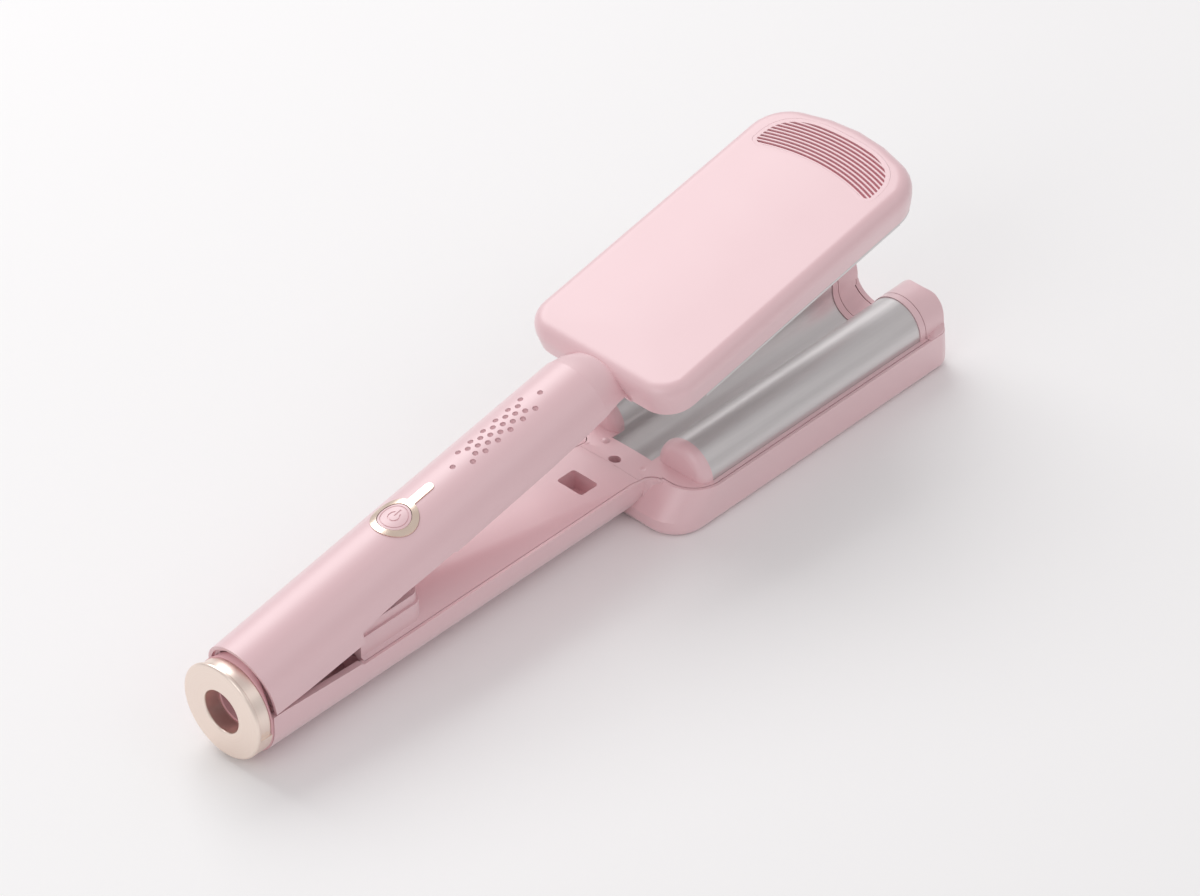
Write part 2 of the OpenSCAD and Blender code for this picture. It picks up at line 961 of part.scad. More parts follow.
module lower_screw() {
  color([0.6, 0.6, 0.62])
    seat()
      translate([screw_x, 0, 0])
        difference() {
          union() {
            translate([0, 0, screw_seat_z])
              cylinder(r = screw_head_r, h = 1.6, $fn = 48);
            translate([0, 0, wall + 1.5])
              cylinder(r = screw_shank_r, h = screw_seat_z - wall - 1.4, $fn = 32);
          }
          translate([-1.2, -0.25, screw_seat_z + 0.8])
            cube([2.4, 0.5, 2]);
          translate([-0.25, -1.2, screw_seat_z + 0.8])
            cube([0.5, 2.4, 2]);
        }
}

// ---------- upper arm, drawn closed ----------

// Inverted U of the upper handle; r is its radius, drawn at the tail's height.
module hood_section(r, low) {
  translate([0, grip_top - grip_r])
    circle(r);
  translate([-r, low])
    square([2 * r, grip_top - grip_r - low]);
}

module grip_tube(x0, x1, r, low) {
  translate([hinge_x, 0, grip_top])
    rotate([0, grip_tilt, 0])
      translate([-hinge_x, 0, -grip_top])
        along(x0, x1)
          hood_section(r, low);
}

module upper_low_line() {
  polygon([
    [0, -10], [0, tail_edge + 0.75], [hinge_x - 1, tail_edge + 0.7],
    [block_x0 - 24, tail_edge - 0.2], [block_x0 + 0.5, seam_z + 1.15],
    [block_x0 + 0.5, seam_z + 5.7], [block_x0 + 8, seam_z + 6.5],
    [block_x1 - 8, seam_z + 6.7], [block_x1 + 1, seam_z + 6.3],
    [block_x1 + 13, seam_z + 6.1], [block_x1 + 14, seam_z + 5.2], [head_x - 36, seam_z + 5.4],
    [head_x - 18, seam_z + 6.2], [head_x - 7, seam_z + 7.2],
    [cover_x0 - 0.5, seam_z + 7.2], [cover_x0 + 0.6, cover_low],
    [tip_x + 20, cover_low], [tip_x + 20, -10]
  ]);
}

// Disc of the upper head: leaning wall and rounded upper edge.
module cover_puck(r, round, low) {
  mid = cover_top - cover_round - 1.4;
  rotate_extrude($fn = 32)
    union() {
      polygon([
        [0, low], [r - cover_lean, low], [r, mid], [r, cover_top - round], [0, cover_top - round]
      ]);
      translate([0, cover_top - round])
        square([r - round, round]);
      intersection() {
        translate([r - round, cover_top - round])
          circle(round, $fn = 48);
        translate([0, cover_top - round])
          square([r, round]);
      }
    }
}

module cover_form(inset, low) {
  half = cover_w / 2;
  round = cover_round - inset * 0.6;
  hull() {
    pair(half - cover_rear_r)
      translate([cover_x0 + cover_rear_r, 0, -inset])
        cover_puck(cover_rear_r - inset, round, low + inset);
    for (k = [-1:0.5:1])
      translate([cover_x1 - cover_tip_r - tip_bow * k * k, k * (half - cover_tip_r), -inset])
        cover_puck(cover_tip_r - inset, round, low + inset);
    along(cover_x0 + 16, cover_x1 - 18)
      polygon([for (i = [-6:6]) [i * 4, cover_top - inset + crown * (1 - i * i / 36)]]);
  }
}

module neck_form(inset) {
  hull() {
    along(neck_x - 3, neck_x)
      translate([0, -grip_fall])
        hood_section(grip_r - inset, seam_z);
    along(neck_x + 4, neck_x + 5)
      translate([0, -grip_fall - 0.7])
        hood_section(grip_r - 0.5 - inset, seam_z);
    along(neck_x + 9, neck_x + 10)
      translate([0, -grip_fall - 3])
        hood_section(grip_r - 1 - inset, seam_z);
    along(neck_x + 14, neck_x + 15)
      translate([0, -grip_fall - 7.5])
        hood_section(grip_r - 2.5 - inset, seam_z);
  }
}

// Hollow curve in which the neck's sides run out into the back of the head.
module neck_flare() {
  for (k = [0, 1])
    hull() {
      flare_section(k == 0 ? -4.4 : -1.8, k == 0 ? 0 : 0.9, k == 0 ? 1.4 : 2.4);
      flare_section(k == 0 ? -1.8 : 0.6, k == 0 ? 0.9 : 3, k == 0 ? 2.4 : 3.4);
    }
}

// Neck's section at x from the head's back, grown by grow on its sides, its top drop lower.
module flare_section(x, grow, drop) {
  r = grip_r - 0.8 + grow;
  along(cover_x0 + x, cover_x0 + x + 0.1)
    translate([0, -grip_fall - drop + 0.8 - 2 * grow])
      hood_section(r, seam_z + 4);
}

// Rounded D of the vent: a full outline cut at the rear by a large arc.
module vent_plan(inset) {
  steps = 72;
  reach = vent_x1 - vent_x0 - inset;
  half = vent_y - inset;
  difference() {
    translate([vent_x0, 0])
      polygon([
        for (i = [0:steps - 1])
          let (c = cos(360 * i / steps), s = sin(360 * i / steps))
            [
              (c > 0 ? reach : vent_rear - inset) * sign(c) * pow(abs(c), vent_power),
              half * sign(s) * pow(abs(s), vent_power)
            ]
      ]);
    translate([vent_x0 - vent_rear_r, 0])
      circle(vent_rear_r + inset, $fn = 144);
  }
}

module bezel_plan(grow) {
  stem_r = 1.5;
  circle(bezel_r + grow);
  translate([0, -stem_r - grow])
    square([bezel_r + 7.6, 2 * stem_r + 2 * grow]);
  translate([bezel_r + 7.6, 0])
    circle(stem_r + grow, $fn = 32);
}

// Dots over the board, in rows on a triangular grid.
module dots() {
  row = dot_pitch / (2 * sqrt(3));
  for (k = [-3.5, -1.5, -0.5, 0.5, 1.5, 3.5])
    dot(k, 0);
  for (k = [-2, -1, 0, 1, 2])
    for (s = [-1, 1])
      dot(k, s * row);
  for (k = [-2.5, -1.5, -0.5, 0.5, 1.5, 2.5])
    for (s = [-1, 1])
      dot(k, s * 2 * row);
}

module dot(k, y) {
  translate([dots_x + k * dot_pitch, y, grip_top - 12])
    cylinder(r = dot_r, h = 20, $fn = 20);
}

module lugs() {
  intersection() {
    for (s = [-1, 1])
      translate([0, s * (lug_y0 + lug_t / 2), 0])
        across(lug_t)
          difference() {
            union() {
              translate([hinge_x, hinge_z])
                circle(lug_r);
              translate([hinge_x - 0.4, hinge_z])
                square([lug_r + 0.4, 40]);
            }
            translate([hinge_x, hinge_z])
              circle(pin_r + run_gap, $fn = 96);
          }
    grip_tube(0, 40, grip_r - 0.5, 5);
  }
}

// Seat of the opening spring; its face is level when the arms are open.
module spring_seat() {
  intersection() {
    seat()
      translate([spring_x, 0, 0]) {
        translate([0, 0, spring_z1 + seat_gap])
          cylinder(r = seat_r, h = 20);
        translate([0, 0, spring_z1 - 3])
          cylinder(r = peg_r, h = 20);
      }
    swing()
      grip_tube(20, neck_x, grip_r - 0.5, 5);
  }
}

// Rib under the cover that holds the insulating sheet down.
module mica_rib(x) {
  t = 1.5;
  translate([x, -mica_y, mica_z + mica_t + seat_gap + rise_at(x + t)])
    cube([t, 2 * mica_y, 40]);
}

module upper_shell() {
  color([0.95, 0.75, 0.78]) {
    swing() {
      difference() {
        union() {
          grip_tube(hinge_x - 1.4, neck_x, grip_r, seam_z);
          neck_form(0);
          neck_flare();
          cover_form(0, cover_low);
        }
        difference() {
          grip_tube(0, neck_x - 2, grip_r - wall, 5);
          translate([button_x, 0, button_z - guide_len])
            cylinder(r = guide_r, h = 20);
          translate([lid_screw_x, 0, lid_z + lid_t + seat_gap])
            cylinder(r = screw_boss_r, h = 40);
        }
        translate([neck_x - 4, -9, lid_z])
          cube([cover_x0 - neck_x + 12, 18, 5]);
        difference() {
          cover_form(head_wall, 5);
          for (k = [0.22, 0.78])
            mica_rib(mica_x0 + k * (mica_x1 - mica_x0));
        }
        across(200)
          upper_low_line();
        rise()
          along(plate_u1 - 6, cover_x1 + 1)
            pair_2d(barrel_y)
              translate([0, barrel_z])
                circle(hood_tip_r);
        grip_tube(hinge_x - 2, hinge_x - 0.6, grip_r - lip_t, 5);
        translate([neck_x - 4, -grip_r + wall, 0])
          cube([cover_x0 - neck_x + 6, 2 * (grip_r - wall), lid_z + lid_t]);
        translate([button_x, 0, 0])
          cylinder(r = button_r + 0.2, h = 60);
        difference() {
          translate([button_x, 0, board_z])
            linear_extrude(60)
              bezel_plan(seat_gap);
          grip_tube(0, neck_x, grip_r - bezel_seat, 5);
        }
        dots();
        translate([0, 0, cover_top - vent_t])
          linear_extrude(10)
            vent_plan(0);
        translate([0, 0, cover_top - 6])
          linear_extrude(10)
            vent_plan(1.2);
        translate([lid_screw_x, 0, lid_z])
          cylinder(r = screw_shank_r + seat_gap, h = 7);
      }
      lugs();
    }
    spring_seat();
  }
}

module vent_grille() {
  color([0.83, 0.5, 0.56])
    swing()
      translate([0, 0, cover_top - vent_t + seat_gap])
        linear_extrude(vent_t)
          difference() {
            vent_plan(seat_gap);
            intersection() {
              vent_plan(1.5);
              for (i = [0:slot_count - 1])
                translate([vent_x0 - vent_rear_r, 0])
                  difference() {
                    circle(vent_rear_r + 1.1 + i * slot_pitch + slot_w / 2, $fn = 144);
                    circle(vent_rear_r + 1.1 + i * slot_pitch - slot_w / 2, $fn = 144);
                  }
            }
          }
}

module upper_lid() {
  color([0.9, 0.7, 0.73])
    swing()
      difference() {
        union() {
          translate([lid_x0, -grip_r + wall + 0.5, lid_z])
            cube([cover_x0 + 1.4 - lid_x0, 2 * (grip_r - wall - 0.5), lid_t]);
          for (x = [board_x0 + 3, board_x1 - 3])
            pair(6)
              translate([x, 0, lid_z])
                cylinder(r = 2, h = board_z - lid_z, $fn = 32);
        }
        translate([lid_screw_x, 0, lid_z - 1])
          cylinder(r = screw_shank_r + 0.15, h = 5);
        translate([lid_screw_x, 0, lid_z - 1])
          cylinder(r = screw_head_r + 0.15, h = 1.9);
      }
}

module upper_screw() {
  color([0.6, 0.6, 0.62])
    swing()
      translate([lid_screw_x, 0, 0])
        difference() {
          union() {
            translate([0, 0, lid_z - 0.5])
              cylinder(r = screw_head_r, h = 1.4, $fn = 48);
            translate([0, 0, lid_z])
              cylinder(r = screw_shank_r, h = 6.5, $fn = 32);
          }
          translate([-1.2, -0.25, lid_z - 1])
            cube([2.4, 0.5, 1.2]);
          translate([-0.25, -1.2, lid_z - 1])
            cube([0.5, 2.4, 1.2]);
        }
}

module control_board() {
  color([0.16, 0.42, 0.28])
    swing() {
      translate([board_x0, -9, board_z])
        cube([board_x1 - board_x0, 18, board_t]);
      translate([dots_x - 6, -5, board_z + board_t])
        cube([8, 10, 1.6]);
      translate([dots_x - 22, -6, board_z + board_t])
        cube([9, 6, 3.4]);
      translate([dots_x + 10, 0, board_z + board_t])
        cylinder(r = 2.6, h = 4, $fn = 40);
    }
}

module button_switch() {
  z0 = board_z + board_t;
  color([0.15, 0.15, 0.16])
    swing()
      translate([button_x, 0, z0])
        difference() {
          translate([-3, -3, 0])
            cube([6, 6, switch_top - z0]);
          translate([0, 0, 0.3])
            cylinder(r = plunger_r + run_gap, h = 5, $fn = 48);
        }
}

module switch_plunger() {
  color([0.85, 0.85, 0.85])
    swing()
      translate([button_x, 0, board_z + board_t + 0.3 + button_travel + 0.05])
        cylinder(r = plunger_r, h = flange_z - board_z - board_t - button_travel - 0.37, $fn = 48);
}

// The button's top follows the round of the handle.
module power_button() {
  color([0.94, 0.74, 0.77])
    swing()
      difference() {
        intersection() {
          translate([button_x, 0, 0])
            rotate_extrude($fn = 96)
              polygon([
                [0, flange_z], [flange_r, flange_z], [flange_r, flange_z + flange_t],
                [button_r, flange_z + flange_t], [button_r, grip_top + 2], [0, grip_top + 2]
              ]);
          grip_tube(20, neck_x, grip_r + button_proud, 5);
        }
        difference() {
          translate([button_x, 0, board_z])
            linear_extrude(60)
              union() {
                power_mark();
                difference() {
                  circle(groove_r + 0.15);
                  circle(groove_r - 0.15);
                }
              }
          grip_tube(20, neck_x, grip_r + button_proud - mark_depth, 5);
        }
      }
}

// Plain on and off mark: an open ring with a bar.
module power_mark() {
  difference() {
    circle(2.1, $fn = 48);
    circle(1.6, $fn = 48);
    translate([0, -1])
      square([4, 2]);
  }
  translate([0.2, -0.3])
    square([3, 0.6]);
}

module button_bezel() {
  color([0.86, 0.74, 0.66])
    swing()
      difference() {
        intersection() {
          translate([button_x, 0, board_z])
            linear_extrude(60)
              difference() {
                bezel_plan(0);
                circle(button_r + 0.2);
              }
          grip_tube(20, neck_x, grip_r + bezel_proud, 5);
        }
        grip_tube(0, neck_x + 5, grip_r - bezel_seat + seat_gap, 5);
      }
}

// Middle half round and the two hoods, drawn whole.
module upper_wave_section() {
  translate([0, barrel_z])
    mirror([0, 1])
      arch(core_r, plate_t);
  pair_2d(core_r - plate_t / 2)
    translate([-plate_t / 2, barrel_z - 0.2])
      square([plate_t, 0.4]);
  pair_2d(barrel_y)
    translate([0, barrel_z])
      arch(hood_r + plate_t, plate_t);
}

// What the hoods keep: all between the bars' centres, and outside them what is above the rim.
module hood_limits() {
  translate([-barrel_y, -20])
    square([2 * barrel_y, 80]);
  translate([-hood_end, rim_z + web_lift])
    square([2 * hood_end, 30]);
}

module rim_section() {
  for (s = [0, 1])
    mirror([s, 0])
      translate([hood_end, rim_z]) {
        translate([-web_overlap, 0])
          square([cover_w / 2 - cover_lean - hood_end + web_overlap, plate_t]);
        translate([-web_t, web_lift])
          square([web_t, bar_rise + 1.3]);
      }
}

module upper_plate() {
  color([0.78, 0.79, 0.8])
    swing()
      difference() {
        union() {
          intersection() {
            rise()
              along(plate_u0, plate_u1)
                upper_wave_section();
            along(plate_u0 - 3, plate_u1 + 3)
              hood_limits();
          }
          along(plate_u0, plate_u1)
            rim_section();
        }
        corner_cut(cover_lean + head_wall + corner_room, rim_z + plate_t + seat_gap);
        corner_cut(cover_lean + 0.2, 0);
      }
}

// Takes away what lies outside the cover's rounded tip corners, from height z up.
module corner_cut(inset, z) {
  for (s = [-1, 1])
    translate([cover_x1 - cover_tip_r - tip_bow, s * (cover_w / 2 - cover_tip_r), z])
      linear_extrude(40)
        difference() {
          translate([0, s > 0 ? 0 : -30])
            square([40, 30]);
          circle(cover_tip_r - inset);
        }
}

// Section of the solid end pieces beside the upper plate, which carry the same wave.
module hood_block_section(r) {
  half = hood_end - 0.05;
  difference() {
    union() {
      translate([-half, barrel_z])
        square([2 * half, cover_top - head_wall - 0.5 - barrel_z]);
      translate([0, barrel_z])
        circle(barrel_y - r);
    }
    pair_2d(barrel_y)
      translate([0, barrel_z])
        circle(r);
    pair_2d(barrel_y)
      translate([-r, -20])
        square([2 * r, barrel_z + 20]);
  }
}

// End piece from x0 to x1; its outer sides stop above the rim.
module hood_block(x0, x1, r) {
  intersection() {
    difference() {
      rise()
        along(x0, x1)
          hood_block_section(r);
      along(x0 - 3, x1 + 3)
        for (s = [0, 1])
          mirror([s, 0])
            translate([barrel_y, -10])
              square([20, rim_z + 10]);
    }
    cover_form(head_wall + seat_gap, 5);
  }
}

module heel_block() {
  color([0.93, 0.72, 0.75])
    swing()
      difference() {
        hood_block(cover_x0 + 2.6, plate_u0 - seat_gap, hood_r);
        translate([cover_x0, -11, 0])
          cube([valley_x0 + 1.8 - cover_x0, 22, rim_z]);
        translate([cover_x0, -5, lid_z - 1])
          cube([30, 10, 4]);
      }
}

module toe_block() {
  color([0.93, 0.72, 0.75])
    swing()
      hood_block(plate_u1 + seat_gap, cover_x1, hood_tip_r);
}

module upper_heater() {
  color([0.93, 0.9, 0.84])
    swing()
      rise()
        translate([heater_x0, -core_heater_y, core_heater_z])
          cube([heater_len, 2 * core_heater_y, heater_t]);
}

module upper_clips() {
  color([0.7, 0.7, 0.72])
    swing()
      rise()
        for (x = [heater_x0 + 12, heater_x0 + heater_len - 22])
          translate([x, 0, 0])
            mirror([0, 0, 1])
              clip(-mica_z, -core_heater_z - heater_t, 1.2 * core_heater_y);
}

module upper_insulator() {
  color([0.86, 0.83, 0.72])
    swing()
      rise()
        translate([mica_x0, -mica_y, mica_z])
          cube([mica_x1 - mica_x0, 2 * mica_y, mica_t]);
}

lower_shell();
lower_cover();
lower_frame();
tip_cap();
lower_plate();
tail_cap();
tail_collar();
hinge_pins();
opening_spring();
lower_heaters();
lower_clips();
lower_insulator();
thermal_fuse();
thermistor();
lower_screw();
upper_shell();
vent_grille();
upper_lid();
upper_screw();
control_board();
button_switch();
switch_plunger();
power_button();
button_bezel();
upper_plate();
heel_block();
toe_block();
upper_heater();
upper_clips();
upper_insulator();
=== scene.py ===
# %% [markdown]
# # A hair waver, dressed for the studio
#
# The object has two long arms that are hinged at the tail. The lower arm carries two round
# heating bars in a shallow tray, the upper arm a wide cover with a slotted vent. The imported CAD
# model already has every part in its place, so this lesson never moves a part. It gives each
# one its finish, softens the moulded edges and adds what is too fine for the CAD model.

import json
import math

import bmesh
import bpy
from mathutils import Matrix, Vector


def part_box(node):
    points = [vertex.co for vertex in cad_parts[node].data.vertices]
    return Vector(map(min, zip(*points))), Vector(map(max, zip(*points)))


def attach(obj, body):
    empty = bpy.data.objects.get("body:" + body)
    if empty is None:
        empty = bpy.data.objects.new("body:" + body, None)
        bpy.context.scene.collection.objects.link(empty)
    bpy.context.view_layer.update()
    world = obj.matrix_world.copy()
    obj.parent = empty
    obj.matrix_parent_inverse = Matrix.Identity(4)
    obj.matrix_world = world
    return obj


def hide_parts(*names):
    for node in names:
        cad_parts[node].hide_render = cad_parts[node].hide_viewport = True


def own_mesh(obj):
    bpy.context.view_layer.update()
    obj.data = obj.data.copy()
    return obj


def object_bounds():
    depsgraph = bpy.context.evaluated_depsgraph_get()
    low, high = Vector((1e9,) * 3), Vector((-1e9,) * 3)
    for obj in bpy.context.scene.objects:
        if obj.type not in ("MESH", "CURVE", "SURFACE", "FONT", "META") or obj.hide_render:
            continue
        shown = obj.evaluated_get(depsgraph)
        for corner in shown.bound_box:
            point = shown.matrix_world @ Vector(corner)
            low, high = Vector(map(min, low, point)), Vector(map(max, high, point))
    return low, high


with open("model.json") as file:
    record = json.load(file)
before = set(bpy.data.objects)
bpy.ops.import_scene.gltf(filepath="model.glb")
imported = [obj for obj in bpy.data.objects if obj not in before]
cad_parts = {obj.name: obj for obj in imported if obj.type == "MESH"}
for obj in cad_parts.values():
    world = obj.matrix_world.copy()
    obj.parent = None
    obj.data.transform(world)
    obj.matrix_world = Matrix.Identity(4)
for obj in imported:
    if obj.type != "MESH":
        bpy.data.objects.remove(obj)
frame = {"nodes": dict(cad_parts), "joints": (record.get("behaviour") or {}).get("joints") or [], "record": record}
nodes = frame["nodes"]
cad_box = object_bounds()

# %% [markdown]
# ## Sizes that the whole lesson uses
#
# The CAD model is drawn in millimetres from the tail face, with the arms closed. The packed
# model is in metres, centred on the lower arm, with the upper arm swung open. Two small helpers
# turn a workshop size into a place in this scene: one for the lower arm and one for the upper.

# %% Workshop sizes, in millimetres
MM = 0.001
low_corner, high_corner = cad_box
LENGTH = (high_corner.x - low_corner.x) / MM
HINGE = next(j for j in frame["joints"] if j["name"] == "arm_hinge")
OPEN = math.radians(HINGE["range_deg"][1])
HINGE_X = HINGE["pos_m"][0] / MM + LENGTH / 2
HINGE_Z = HINGE["pos_m"][2] / MM


def on_lower(x, y, z):
    """A point of the lower arm, from millimetres at the tail to metres in the scene."""
    return Vector(((x - LENGTH / 2) * MM, y * MM, z * MM))


def open_matrix():
    """Turns what is drawn closed, in millimetres, into the open upper arm, in metres."""
    to_hinge = Matrix.Translation(Vector((-HINGE_X, 0, -HINGE_Z)))
    turn = Matrix.Rotation(-OPEN, 4, "Y")
    back = Matrix.Translation(Vector((HINGE_X - LENGTH / 2, 0, HINGE_Z)))
    return Matrix.Scale(MM, 4) @ back @ turn @ to_hinge


print(f"lower arm {LENGTH:.1f} mm long, arms open by {math.degrees(OPEN):.1f} degrees")

# %% [markdown]
# ## The camera
#
# A small product is usually shot from far off with a long lens, so that its two ends keep
# nearly the same scale. This camera stands 1.6 m away, above the tail, and looks along the arms.

# %% Camera
CAMERA_PLACE = (-0.88045, -0.84887, 1.00132)
CAMERA_TILT, CAMERA_TURN = 51.62, -46.51
SENSOR_MM, LENS_MM = 36, 149.73
NEAREST, FARTHEST = 0.05, 30

camera_data = bpy.data.cameras.new("studio_camera")
camera_data.sensor_width = SENSOR_MM
camera_data.lens = LENS_MM
camera_data.clip_start, camera_data.clip_end = NEAREST, FARTHEST
camera = bpy.data.objects.new("studio_camera", camera_data)
bpy.context.scene.collection.objects.link(camera)
camera.location = CAMERA_PLACE
camera.rotation_euler = (math.radians(CAMERA_TILT), 0, math.radians(CAMERA_TURN))
bpy.context.scene.camera = camera
bpy.context.scene.view_settings.view_transform = "Standard"
print(f"camera lens {camera_data.lens} mm, {camera.location.length:.2f} m from the middle")

# %% [markdown]
# ## One helper for node trees
#
# Every material and every Geometry Nodes tree below is built from the same small function. It
# adds one node, sets its properties, and fills its inputs: an input that is given a socket is
# linked, and an input that is given a plain value keeps that value on the socket itself.
# Three more helpers do what all the finishes share: a pattern mixes two tones, varies the gloss
# and raises a fine relief.


# %% Node helper and colours
def add(tree, kind, inputs=None, **properties):
    """Adds one node; inputs maps a socket's name or number to a value or to another socket."""
    node = tree.nodes.new(kind)
    for name, value in properties.items():
        setattr(node, name, value)
    for key, value in (inputs or {}).items():
        if isinstance(value, bpy.types.NodeSocket):
            tree.links.new(value, node.inputs[key])
        else:
            node.inputs[key].default_value = value
    return node


def colour(hex_value):
    """An sRGB hex colour as the linear RGBA that Blender's sockets want."""
    channels = [int(hex_value[i : i + 2], 16) / 255 for i in (1, 3, 5)]
    linear = [c / 12.92 if c <= 0.04045 else ((c + 0.055) / 1.055) ** 2.4 for c in channels]
    return (*linear, 1.0)


def new_material(name):
    """A material with a Principled shader on its output; returns it, its tree and the shader."""
    material = bpy.data.materials.new(name)
    material.use_nodes = True
    tree = material.node_tree
    tree.nodes.clear()
    shader = add(tree, "ShaderNodeBsdfPrincipled")
    add(tree, "ShaderNodeOutputMaterial", {"Surface": shader.outputs[0]})
    return material, tree, shader


def two_tone(tree, shader, pattern, deep, pale):
    """Lets a pattern mix a deep and a pale tone into the shader's base colour."""
    tint = add(
        tree,
        "ShaderNodeMix",
        {0: pattern.outputs[0], 6: colour(deep), 7: colour(pale)},
        data_type="RGBA",
    )
    tree.links.new(tint.outputs[2], shader.inputs["Base Color"])


def varied_gloss(tree, shader, pattern, smoothest, roughest):
    """Lets a pattern move the shader's roughness between two values."""
    gloss = add(
        tree,
        "ShaderNodeMapRange",
        {"Value": pattern.outputs[0], "To Min": smoothest, "To Max": roughest},
    )
    tree.links.new(gloss.outputs[0], shader.inputs["Roughness"])


def relief(tree, shader, pattern, strength, depth_mm):
    """Lets a pattern raise the surface by a real depth."""
    bump = add(
        tree,
        "ShaderNodeBump",
        {"Strength": strength, "Distance": depth_mm * MM, "Height": pattern.outputs[0]},
    )
    tree.links.new(bump.outputs[0], shader.inputs["Normal"])


print("middle grey is", [round(c, 3) for c in colour("#808080")[:3]])

# %% [markdown]
# ## Floor, backdrop and light
#
# The product lies on a seamless white table. A sheet that curves up behind the object would do,
# but from this height the camera sees only the table, so a wide flat floor is enough. The main
# light is one large soft box behind the object, on its left. Two weak ones, on the right and at
# the tail, lift the near sides and the ring, and the white room fills the rest.

# %% Floor and lights
FLOOR_SIZE = 14
CLOUD_MM = 500
ROOM_STRENGTH = 0.6

floor_material, tree, shader = new_material("white_table_paint")
cloud = add(
    tree,
    "ShaderNodeTexNoise",
    {
        "Vector": add(tree, "ShaderNodeTexCoord").outputs["Object"],
        "Scale": 1 / (CLOUD_MM * MM),
        "Detail": 1.0,
    },
)
two_tone(tree, shader, cloud, "#F7F7F7", "#FAFAFA")
shader.inputs["Roughness"].default_value = 0.55
shader.inputs["Specular IOR Level"].default_value = 0.25

bpy.ops.mesh.primitive_plane_add(size=FLOOR_SIZE, location=(0, 0, 0))
floor = bpy.context.object
floor.name = "studio_floor"
floor.data.materials.append(floor_material)


def soft_box(name, place, aim, width, height, watts):
    """A rectangular area lamp that faces a point."""
    data = bpy.data.lights.new(name, "AREA")
    data.shape, data.size, data.size_y, data.energy = "RECTANGLE", width, height, watts
    lamp = bpy.data.objects.new(name, data)
    bpy.context.scene.collection.objects.link(lamp)
    lamp.location = place
    lamp.rotation_euler = (Vector(aim) - Vector(place)).to_track_quat("-Z", "Y").to_euler()


soft_box("soft_box_back_left", (0.32, 1.28, 1.38), (0.03, 0.0, 0.03), 1.7, 1.3, 17)
soft_box("soft_box_right", (0.5, -1.4, 1.5), (0.0, 0.0, 0.03), 1.0, 1.0, 2)
soft_box("soft_box_tail_side", (-1.5, -0.15, 1.1), (0.0, 0.0, 0.03), 0.9, 0.9, 4)

world = bpy.data.worlds.new("white_room")
bpy.context.scene.world = world
world.use_nodes = True
world.node_tree.nodes["Background"].inputs["Color"].default_value = colour("#FBF8F9")
world.node_tree.nodes["Background"].inputs["Strength"].default_value = ROOM_STRENGTH
print("floor, three soft boxes and a white room are in place")

# %% [markdown]
# ## Soft-touch ABS, moulded in pale pink
#
# Both shells are injection-moulded ABS with a fine spark-eroded grain from the mould, and a
# satin lacquer over it. The eye sees a broad, soft highlight, a very even colour, and a trace
# of grain only where light grazes the surface. Real grain is about 0.1 mm; it is drawn at
# 0.5 mm here so that it still shows at this distance. The lacquer's index of refraction is set
# above the usual 1.5, because that highlight is stronger than a plain lacquer gives.


# %% Pink shell plastic
DRIFT_MM, SMUDGE_MM = 45.5, 16.7
GRAIN_STRENGTH = 0.35


def moulded_plastic(name, pale, deep, roughness, grain_mm, grain_depth, ior=1.53):
    """Satin moulded plastic: a slow drift of colour, a finer drift of gloss and mould grain."""
    material, tree, shader = new_material(name)
    place = add(tree, "ShaderNodeTexCoord").outputs["Object"]
    drift = add(
        tree,
        "ShaderNodeTexNoise",
        {"Vector": place, "Scale": 1 / (DRIFT_MM * MM), "Detail": 3.0, "Roughness": 0.55},
    )
    two_tone(tree, shader, drift, deep, pale)
    smudge = add(
        tree,
        "ShaderNodeTexNoise",
        {"Vector": place, "Scale": 1 / (SMUDGE_MM * MM), "Detail": 4.0},
    )
    varied_gloss(tree, shader, smudge, roughness - 0.04, roughness + 0.06)
    grain = add(
        tree,
        "ShaderNodeTexNoise",
        {"Vector": place, "Scale": 1 / (grain_mm * MM), "Detail": 2.0},
    )
    relief(tree, shader, grain, GRAIN_STRENGTH, grain_depth)
    shader.inputs["IOR"].default_value = ior
    return material


PINK_ABS = moulded_plastic("satin_pink_abs", "#E9C3C8", "#E7BFC4", 0.42, 0.5, 0.02)
for socket, value in {
    "Coat Weight": 1.0,
    "Coat IOR": 1.75,
    "Coat Roughness": 0.42,
    "Sheen Weight": 0.35,
    "Sheen Roughness": 0.4,
}.items():
    PINK_ABS.node_tree.nodes["Principled BSDF"].inputs[socket].default_value = value
PINK_NYLON = moulded_plastic("heat_proof_pink_nylon", "#E0AEB4", "#DCA9AF", 0.46, 0.6, 0.03)
DARK_RESIN = moulded_plastic("black_phenolic_resin", "#2A2627", "#221F20", 0.5, 0.6, 0.03, 1.6)
WHITE_RESIN = moulded_plastic("white_acetal", "#ECEAE6", "#E4E2DD", 0.38, 0.5, 0.02, 1.48)
print("made", [m.name for m in (PINK_ABS, PINK_NYLON, DARK_RESIN, WHITE_RESIN)])

# %% [markdown]
# ## Ceramic-coated aluminium
#
# The heating plates are rolled and bent from aluminium sheet, then sprayed with a thin
# grey ceramic coat and fired. It stays a metal to the eye, but a soft one: wide highlights
# along the bars, and faint streaks in the direction in which the sheet was rolled.


# %% Plate and metal finishes
STREAK_STRENGTH = 0.3


